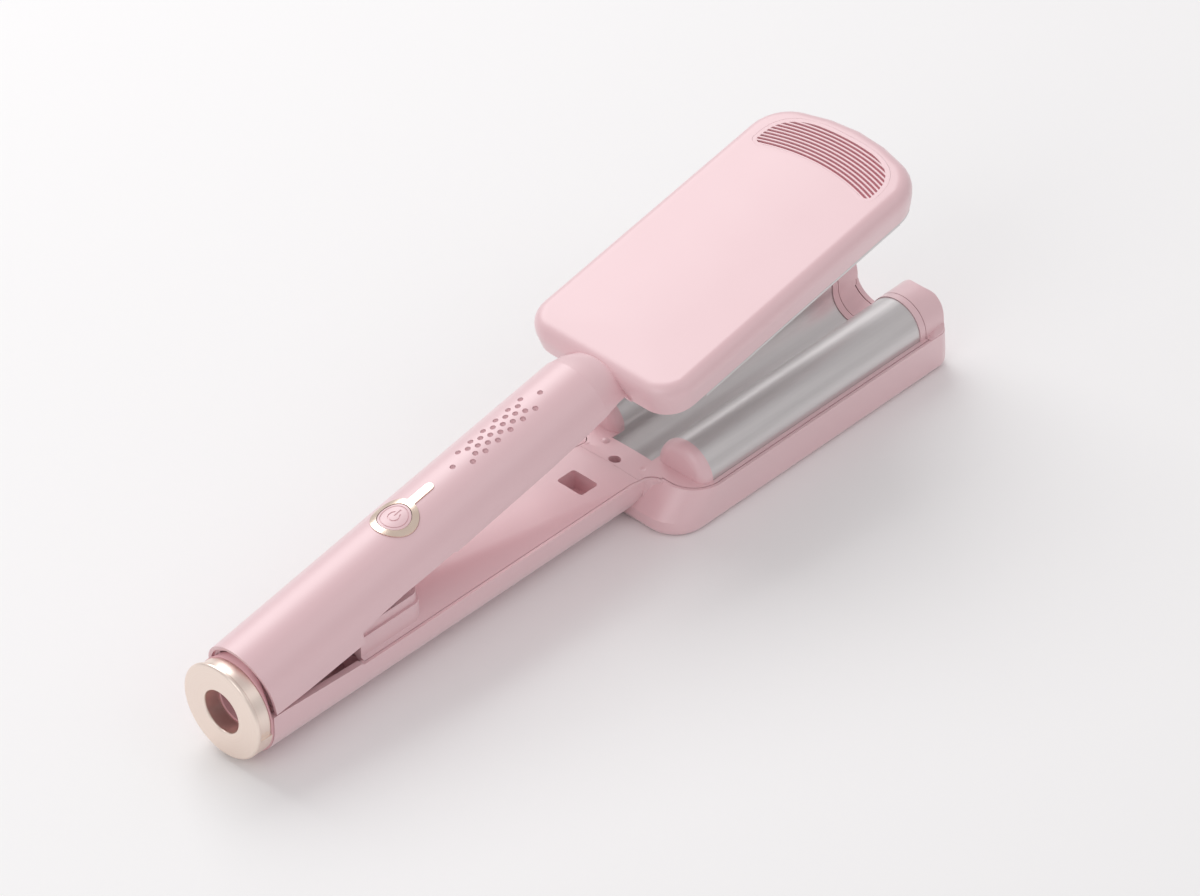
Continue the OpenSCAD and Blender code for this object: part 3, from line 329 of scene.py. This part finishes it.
def streaked_metal(name, pale, deep, roughness, stretch, line_mm, depth_mm, metallic=1.0):
    """Metal with fine lines along one axis; stretch holds the pattern's scale on each axis."""
    material, tree, shader = new_material(name)
    place = add(tree, "ShaderNodeTexCoord").outputs["Object"]
    drawn = add(tree, "ShaderNodeMapping", {"Vector": place, "Scale": stretch})
    lines = add(
        tree,
        "ShaderNodeTexNoise",
        {
            "Vector": drawn.outputs[0],
            "Scale": 1 / (line_mm * MM),
            "Detail": 4.0,
            "Roughness": 0.6,
        },
    )
    two_tone(tree, shader, lines, deep, pale)
    varied_gloss(tree, shader, lines, roughness - 0.05, roughness + 0.07)
    relief(tree, shader, lines, STREAK_STRENGTH, depth_mm)
    shader.inputs["Metallic"].default_value = metallic
    return material


COATED_PLATE = streaked_metal(
    "ceramic_coated_aluminium", "#DDDADA", "#D2CECE", 0.34, (0.04, 1, 1), 1.11, 0.008, 0.85
)
SPRING_STEEL = streaked_metal(
    "drawn_spring_steel", "#C9CACC", "#B7B8BB", 0.28, (1, 1, 1), 2, 0.004
)
print("made", COATED_PLATE.name, "and", SPRING_STEEL.name)

# %% [markdown]
# ## Champagne gold, turned on a lathe
#
# The tail ring is turned aluminium, anodised in champagne gold. A lathe leaves very fine
# circles round the axis, so the highlight spreads across them. The pattern is a function of
# the distance from the ring's axis, and each line is about 0.3 mm wide.

# %% Turned champagne gold
ring_low, ring_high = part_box("tail_cap")
RING_Z = (ring_low.z + ring_high.z) / 2
LATHE_LINE_MM, LATHE_DEPTH_MM, LATHE_STRENGTH = 0.303, 0.004, 0.2


def turned_gold(name, pale, deep, roughness):
    """Anodised aluminium with lathe lines round the X axis through the tail ring."""
    material, tree, shader = new_material(name)
    place = add(tree, "ShaderNodeTexCoord").outputs["Object"]
    centred = add(tree, "ShaderNodeMapping", {"Vector": place, "Location": (0, 0, -RING_Z)})
    parts = add(tree, "ShaderNodeSeparateXYZ", {0: centred.outputs[0]})
    flat = add(tree, "ShaderNodeCombineXYZ", {1: parts.outputs[1], 2: parts.outputs[2]})
    radius = add(tree, "ShaderNodeVectorMath", {0: flat.outputs[0]}, operation="LENGTH")
    along = add(tree, "ShaderNodeCombineXYZ", {0: parts.outputs[0], 1: radius.outputs[1]})
    lines = add(
        tree,
        "ShaderNodeTexNoise",
        {"Vector": along.outputs[0], "Scale": 1 / (LATHE_LINE_MM * MM), "Detail": 2.0},
    )
    two_tone(tree, shader, lines, deep, pale)
    varied_gloss(tree, shader, lines, roughness, roughness + 0.1)
    relief(tree, shader, lines, LATHE_STRENGTH, LATHE_DEPTH_MM)
    shader.inputs["Metallic"].default_value = 1.0
    return material


CHAMPAGNE_RING = turned_gold("turned_champagne_aluminium", "#F9EBE1", "#F3E1D5", 0.3)
CHAMPAGNE_TRIM = streaked_metal(
    "polished_champagne_zinc", "#F8E6D6", "#F2DAC8", 0.22, (1, 1, 1), 3.33, 0.003
)
print("made", CHAMPAGNE_RING.name, "and", CHAMPAGNE_TRIM.name)

# %% [markdown]
# ## Finishes of the parts inside
#
# The heaters, the mica sheets and the circuit board are hidden while the waver is whole, but
# a part that is reused may be opened. They are simple materials with the grain of the real
# ones: alumina ceramic is matt and chalky, mica is layered and flecked, and a board has a
# glossy green solder mask over glass cloth.

# %% Inside finishes
ALUMINA = moulded_plastic("white_alumina_ceramic", "#EFE9DF", "#E2DACD", 0.62, 0.4, 0.04, 1.76)
MICA = moulded_plastic("pressed_mica_sheet", "#D9CFB4", "#BFB395", 0.48, 1.2, 0.05, 1.58)
BOARD_MASK = moulded_plastic("green_solder_mask", "#2C7350", "#225F41", 0.3, 0.8, 0.02, 1.5)
print("made", [m.name for m in (ALUMINA, MICA, BOARD_MASK)])

# %% [markdown]
# ## Softened edges
#
# No moulded part has a truly sharp edge: the tool leaves a radius of a few tenths of a
# millimetre, and that thin line is what catches the light. The CAD meshes are sharp and their
# triangles are loose. So each visible part is copied, the copy's doubles are merged, its flat
# areas are joined into single faces, and a Bevel modifier rounds only the edges that turn by
# more than a given angle and have room for the rounding. The copy then stands for the CAD node.


# %% Edge softener
SEWING_GAP = 2e-6
FLAT_DEGREES, SHARP_DEGREES = 0.4, 30
ROUNDING_STEPS = 2
# A rounding needs this many times its width on each edge that crosses it.
ROUNDING_ROOM = 1.15
# Edges whose directions agree more than this run along each other and don't cross.
SAME_WAY = 0.9


def body_of(node):
    """The name of the body that carries a CAD node."""
    bodies = frame["record"]["behaviour"]["bodies"]
    return next(body for body, members in bodies.items() if node in members)


def free_edges(sewn, reach):
    """Sharp edges whose neighbours are all long enough for a rounding that reaches this far."""
    sharp = {
        e
        for e in sewn.edges
        if len(e.link_faces) == 2 and e.calc_face_angle(0) > math.radians(SHARP_DEGREES)
    }
    free = []
    for e in sharp:
        along = (e.verts[1].co - e.verts[0].co).normalized()
        crossing = [
            o.calc_length()
            for v in e.verts
            for o in v.link_edges
            if o is not e
            and abs((o.verts[1].co - o.verts[0].co).normalized().dot(along)) < SAME_WAY
        ]
        if min(crossing, default=0) > reach:
            free.append(e)
    return sharp, free


def merged_copy(node, name, edge):
    """A CAD node's mesh with its loose triangles sewn together and its soft edges marked."""
    sewn = bmesh.new()
    sewn.from_mesh(nodes[node].data)
    bmesh.ops.remove_doubles(sewn, verts=sewn.verts, dist=SEWING_GAP)
    bmesh.ops.dissolve_degenerate(sewn, edges=sewn.edges, dist=SEWING_GAP)
    bmesh.ops.dissolve_limit(
        sewn, angle_limit=math.radians(FLAT_DEGREES), verts=sewn.verts, edges=sewn.edges
    )
    for layer in list(sewn.loops.layers.float_vector.values()):
        sewn.loops.layers.float_vector.remove(layer)
    weight = sewn.edges.layers.float.new("bevel_weight_edge")
    sharp, free = free_edges(sewn, ROUNDING_ROOM * edge)
    for e in free:
        e[weight] = 1.0
    print(f"{name}: {len(free)} of {len(sharp)} sharp edges rounded")
    mesh = bpy.data.meshes.new(name)
    sewn.to_mesh(mesh)
    sewn.free()
    if "custom_normal" in mesh.attributes:
        mesh.attributes.remove(mesh.attributes["custom_normal"])
    return mesh


def soften(node, name, finish, edge_mm):
    """Replaces a CAD node by a copy with rounded edges and a finish."""
    mesh = merged_copy(node, name, edge_mm * MM)
    mesh.materials.clear()
    mesh.materials.append(finish)
    mesh.shade_smooth()
    mesh.set_sharp_from_angle(angle=math.radians(SHARP_DEGREES))
    piece = bpy.data.objects.new(name, mesh)
    bpy.context.scene.collection.objects.link(piece)
    rounding = piece.modifiers.new("mould_radius", "BEVEL")
    rounding.width, rounding.segments = edge_mm * MM, ROUNDING_STEPS
    rounding.limit_method = "WEIGHT"
    rounding.use_clamp_overlap = True
    shading = piece.modifiers.new("even_shading", "WEIGHTED_NORMAL")
    shading.keep_sharp = True
    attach(piece, body_of(node))
    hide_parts(node)


def finish_node(node, finish):
    """A CAD node that stays as it is and takes a finish."""
    for material_slot in nodes[node].material_slots:
        material_slot.material = finish


print("edge softener ready")

# %% [markdown]
# ## The pink shells
#
# These are what the eye meets first: the two handles, the wide cover, the tray, the frame
# round the bars and the tip cap. Their mould radius is 0.2 to 0.45 mm, and the thin bars of the
# vent get 0.12 mm, because more would round them away.

# %% Shells
soften("upper_shell", "upper_shell_skin", PINK_ABS, 0.25)
soften("lower_shell", "lower_shell_skin", PINK_ABS, 0.45)
soften("lower_cover", "lower_cover_skin", PINK_ABS, 0.35)
soften("lower_frame", "lower_frame_skin", PINK_ABS, 0.2)
soften("tip_cap", "tip_cap_skin", PINK_ABS, 0.3)
soften("heel_block", "heel_block_skin", PINK_NYLON, 0.3)
soften("toe_block", "toe_block_skin", PINK_NYLON, 0.3)
soften("tail_collar", "tail_collar_skin", PINK_NYLON, 0.2)
soften("vent_grille", "vent_grille_skin", PINK_ABS, 0.12)
print("nine pink parts softened")

# %% [markdown]
# ## The metal parts and the button
#
# The plates are bent sheet with a rolled edge of 0.2 mm. The tail ring is turned and broken at its
# corners, and the trim and the button are small, so their edges are almost sharp. They are
# softened by the same function as the shells, each with its own width.

# %% Plates, ring and button
soften("lower_plate", "lower_plate_skin", COATED_PLATE, 0.2)
soften("upper_plate", "upper_plate_skin", COATED_PLATE, 0.2)
soften("tail_cap", "tail_ring_skin", CHAMPAGNE_RING, 0.25)
soften("button_bezel", "button_trim_skin", CHAMPAGNE_TRIM, 0.12)
soften("power_button", "power_button_skin", PINK_ABS, 0.1)
print("plates, ring, trim and button softened")

# %% [markdown]
# ## Cooling dots, made with Geometry Nodes
#
# The CAD model has 28 open holes over the circuit board. Seen from outside they read as shallow
# cups, so each one gets a cup here that closes it. Whether the real ones are closed is a guess.
# They are all alike and stand on a triangular grid, which makes them a good case for instances.
# The tree turns the upper half of a sphere inside out, so that each sphere becomes a cup, puts
# one cup on each point, and makes the result real geometry with its own material.


# %% Cooling dots
def node_tree(name, sizes):
    """An empty Geometry Nodes tree with named size inputs; returns it, its input and output."""
    tree = bpy.data.node_groups.new(name, "GeometryNodeTree")
    tree.interface.new_socket("Geometry", in_out="INPUT", socket_type="NodeSocketGeometry")
    for size in sizes:
        tree.interface.new_socket(size, in_out="INPUT", socket_type="NodeSocketFloat")
    tree.interface.new_socket("Geometry", in_out="OUTPUT", socket_type="NodeSocketGeometry")
    return tree, add(tree, "NodeGroupInput"), add(tree, "NodeGroupOutput")


def run_tree(name, tree, sizes, points=()):
    """Runs a tree on a few points and returns the result as a plain mesh, in millimetres."""
    seed = bpy.data.meshes.new(name + "_points")
    seed.from_pydata(points, [], [])
    carrier = bpy.data.objects.new(name + "_carrier", seed)
    bpy.context.scene.collection.objects.link(carrier)
    maker = carrier.modifiers.new("maker", "NODES")
    maker.node_group = tree
    for item in tree.interface.items_tree:
        if item.item_type == "SOCKET" and item.name in sizes:
            maker[item.identifier] = sizes[item.name]
    mesh = bpy.data.meshes.new_from_object(
        carrier.evaluated_get(bpy.context.evaluated_depsgraph_get())
    )
    mesh.name = name
    carrier.modifiers.remove(maker)
    bpy.data.objects.remove(carrier)
    return mesh


def place_piece(name, mesh, matrix, body):
    """Puts a mesh drawn in millimetres in its place, and makes it ride on a body."""
    mesh.transform(matrix)
    piece = bpy.data.objects.new(name, mesh)
    bpy.context.scene.collection.objects.link(piece)
    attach(piece, body)
    return piece


DOT_R, DOT_PITCH, DOTS_X = 0.93, 5.57, 123.8
CUP_DEPTH, CUP_THICKNESS, CUP_SINK = 0.75, 1.7, 0.3
CUP_SEGMENTS, CUP_RINGS = 20, 10
# The grip's top falls by 1.9 mm over the 165.9 mm of the handle.
GRIP_R, GRIP_TOP, GRIP_FALL = 14.2, 38.2, 1.9 / 165.9
ROW = DOT_PITCH / (2 * math.sqrt(3))
# Each row lists where its dots stand, in pitches from the middle of the pattern.
dot_rows = {
    0: (-3.5, -1.5, -0.5, 0.5, 1.5, 3.5),
    1: (-2, -1, 0, 1, 2),
    -1: (-2, -1, 0, 1, 2),
    2: (-2.5, -1.5, -0.5, 0.5, 1.5, 2.5),
    -2: (-2.5, -1.5, -0.5, 0.5, 1.5, 2.5),
}


def handle_top(x, y):
    """Height of the upper handle's round top, closed, in millimetres."""
    return GRIP_TOP - (x - HINGE_X) * GRIP_FALL - GRIP_R + math.sqrt(GRIP_R**2 - y**2)


def dot_centre(along, across):
    """Centre of one dot, a little under the handle's skin."""
    x, y = DOTS_X + along * DOT_PITCH, across * ROW
    return x, y, handle_top(x, y) - CUP_SINK


dot_points = [dot_centre(along, row) for row, places in dot_rows.items() for along in places]

tree, given, result = node_tree("cooling_cups", ["Dot radius", "Cup depth", "Cup thickness"])
ball = add(
    tree,
    "GeometryNodeMeshUVSphere",
    {
        "Segments": CUP_SEGMENTS,
        "Rings": CUP_RINGS,
        "Radius": given.outputs["Dot radius"],
    },
)
here = add(
    tree, "ShaderNodeSeparateXYZ", {0: add(tree, "GeometryNodeInputPosition").outputs[0]}
)
height = here.outputs[2]
share = add(
    tree,
    "ShaderNodeMath",
    {0: height, 1: given.outputs["Dot radius"]},
    operation="DIVIDE",
)
bowl = add(
    tree,
    "ShaderNodeMath",
    {0: share.outputs[0], 1: given.outputs["Cup depth"]},
    operation="MULTIPLY",
)
back = add(
    tree,
    "ShaderNodeMath",
    {0: share.outputs[0], 1: given.outputs["Cup thickness"]},
    operation="MULTIPLY",
)
is_top = add(tree, "FunctionNodeCompare", {0: height, 1: 0.0}, operation="GREATER_THAN")
turned_down = add(
    tree, "ShaderNodeMath", {0: bowl.outputs[0], 1: -1.0}, operation="MULTIPLY"
)
new_height = add(
    tree,
    "GeometryNodeSwitch",
    {"Switch": is_top.outputs[0], "False": back.outputs[0], "True": turned_down.outputs[0]},
    input_type="FLOAT",
)
cup_place = add(
    tree,
    "ShaderNodeCombineXYZ",
    {0: here.outputs[0], 1: here.outputs[1], 2: new_height.outputs[0]},
)
cup = add(
    tree,
    "GeometryNodeSetPosition",
    {"Geometry": ball.outputs["Mesh"], "Position": cup_place.outputs[0]},
)
cups = add(
    tree,
    "GeometryNodeInstanceOnPoints",
    {"Points": given.outputs["Geometry"], "Instance": cup.outputs[0]},
)
real_cups = add(tree, "GeometryNodeRealizeInstances", {0: cups.outputs[0]})
smooth_cups = add(tree, "GeometryNodeSetShadeSmooth", {0: real_cups.outputs[0]})
finished = add(
    tree, "GeometryNodeSetMaterial", {"Geometry": smooth_cups.outputs[0], "Material": PINK_ABS}
)
tree.links.new(finished.outputs[0], result.inputs[0])
cups_mesh = run_tree(
    "cooling_dots",
    tree,
    {"Dot radius": DOT_R, "Cup depth": CUP_DEPTH, "Cup thickness": CUP_THICKNESS},
    dot_points,
)
place_piece("cooling_dots", cups_mesh, open_matrix(), "upper_arm")
print(f"{len(dot_points)} cooling dots, {len(cups_mesh.polygons)} faces")

# %% [markdown]
# ## A deep rose sheet behind the vent, as painted shade
#
# Behind the slots of the vent there is a sheet in a deeper, dusky rose than the shell. Its colour
# is painted shade: it stands in for the shade deep in the slots, where only its colour shows.
# Whether the real head has a dust screen there can't be seen from outside, so that is a guess. The
# sheet has the vent's own rounded D outline, 1.3 mm smaller, and the material has a coarse grain.

# %% Painted shade sheet behind the vent
# The deep rose of this sheet is painted shade for the inside of the vent's slots.
SLOT_SHADE_ROSE = moulded_plastic("dusky_rose_painted_slot_shade", "#D98C97", "#C67A86", 0.7, 0.6, 0.08)
VENT_X0, VENT_X1, VENT_HALF, VENT_REAR_R = 270.9, 288.4, 25.7, 68.0
VENT_REAR, VENT_POWER, COVER_TOP = 4.5, 0.72, 32.3
SCREEN_IN, SCREEN_T, SCREEN_SINK, SCREEN_POINTS = 1.3, 0.3, 0.72, 72
SCREEN_WELD = 0.01
outline = []
for i in range(SCREEN_POINTS):
    turn = math.tau * i / SCREEN_POINTS
    c, d = math.cos(turn), math.sin(turn)
    reach = (VENT_X1 - VENT_X0 if c > 0 else VENT_REAR) - SCREEN_IN
    x = VENT_X0 + math.copysign(reach * abs(c) ** VENT_POWER, c)
    y = math.copysign((VENT_HALF - SCREEN_IN) * abs(d) ** VENT_POWER, d)
    rear_arc = VENT_X0 - VENT_REAR_R + math.sqrt((VENT_REAR_R + SCREEN_IN) ** 2 - y**2)
    outline.append((max(x, rear_arc), y))
screen = bmesh.new()
screen_z = COVER_TOP - SCREEN_SINK
rim = [screen.verts.new((x, y, screen_z)) for x, y in outline]
floor_rim = [screen.verts.new((x, y, screen_z - SCREEN_T)) for x, y in outline]
screen.faces.new(rim)
screen.faces.new(reversed(floor_rim))
for i in range(len(rim)):
    j = (i + 1) % len(rim)
    screen.faces.new((rim[j], rim[i], floor_rim[i], floor_rim[j]))
bmesh.ops.remove_doubles(screen, verts=screen.verts, dist=SCREEN_WELD)
bmesh.ops.recalc_face_normals(screen, faces=screen.faces)
# This sheet carries the painted shade of the slots in its deep rose colour.
shade_sheet_mesh = bpy.data.meshes.new("vent_painted_shade_sheet")
screen.to_mesh(shade_sheet_mesh)
screen.free()
shade_sheet_mesh.materials.append(SLOT_SHADE_ROSE)
place_piece("vent_painted_shade_sheet", shade_sheet_mesh, open_matrix(), "upper_arm")
print(f"dust screen of {len(outline)} points")

# %% [markdown]
# ## The opening spring
#
# A coil of round steel wire pushes the arms apart. A coil is a circle swept along a spiral, so
# the tree draws the spiral and sweeps the wire along it. The spring's foot stands on its seat
# in the lower arm, and the coil rides on the lower arm at one height.
#
# This is a stand-in for a spring that leans. The upper seat leaves about 0.67 of the coil's
# length when the arms are closed, and the peg of that seat moves 3.6 mm towards the tip, which a
# straight coil can't follow. So the closed coil is made shorter than the real one and ends
# below the peg, about 4 mm short of the seat.

# %% Opening spring
SPRING_X, SPRING_Z0, SPRING_Z1 = 57.9, 9.0, 40.0
COIL_R, WIRE_R, COIL_TURNS = 4.4, 0.6, 8.0
STEPS_A_TURN, WIRE_SIDES = 24, 10

tree, given, result = node_tree("wire_coil", ["Coil radius", "Wire radius", "Height"])
spiral = add(
    tree,
    "GeometryNodeCurveSpiral",
    {
        "Resolution": STEPS_A_TURN,
        "Rotations": COIL_TURNS,
        "Start Radius": given.outputs["Coil radius"],
        "End Radius": given.outputs["Coil radius"],
        "Height": given.outputs["Height"],
    },
)
wire = add(
    tree,
    "GeometryNodeCurvePrimitiveCircle",
    {"Resolution": WIRE_SIDES, "Radius": given.outputs["Wire radius"]},
)
coil = add(
    tree,
    "GeometryNodeCurveToMesh",
    {"Curve": spiral.outputs[0], "Profile Curve": wire.outputs[0], "Fill Caps": True},
)
real_coil = add(tree, "GeometryNodeRealizeInstances", {0: coil.outputs[0]})
smooth_coil = add(tree, "GeometryNodeSetShadeSmooth", {0: real_coil.outputs[0]})
finished = add(
    tree, "GeometryNodeSetMaterial", {"Geometry": smooth_coil.outputs[0], "Material": SPRING_STEEL}
)
tree.links.new(finished.outputs[0], result.inputs[0])
coil_mesh = run_tree(
    "opening_spring_coil",
    tree,
    {
        "Coil radius": COIL_R,
        "Wire radius": WIRE_R,
        "Height": SPRING_Z1 - SPRING_Z0 - 2 * WIRE_R,
    },
    [(0, 0, 0)],
)
stand = on_lower(SPRING_X, 0, SPRING_Z0 + WIRE_R)
coil_piece = place_piece(
    "opening_spring_coil",
    coil_mesh,
    Matrix.Translation(stand) @ Matrix.Scale(MM, 4),
    "lower_arm",
)
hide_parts("opening_spring")
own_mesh(coil_piece)
print(f"spring coil, {len(coil_mesh.polygons)} faces")

# %% [markdown]
# ## The parts that stay as they are
#
# The parts inside keep their CAD meshes and only take a finish.

# %% Inside parts
for node, finish in {
    "hinge_pins": SPRING_STEEL,
    "lower_heaters": ALUMINA,
    "upper_heater": ALUMINA,
    "lower_clips": SPRING_STEEL,
    "upper_clips": SPRING_STEEL,
    "lower_insulator": MICA,
    "upper_insulator": MICA,
    "thermal_fuse": SPRING_STEEL,
    "thermistor": DARK_RESIN,
    "lower_screw": SPRING_STEEL,
    "upper_screw": SPRING_STEEL,
    "upper_lid": PINK_ABS,
    "control_board": BOARD_MASK,
    "button_switch": DARK_RESIN,
    "switch_plunger": WHITE_RESIN,
}.items():
    finish_node(node, finish)
print("inside parts finished")

# %% [markdown]
# ## Measure and finish
#
# The CAD model's box, measured right after the import, is printed.

# %% Finish
print("CAD box", [round(v, 4) for c in cad_box for v in c])
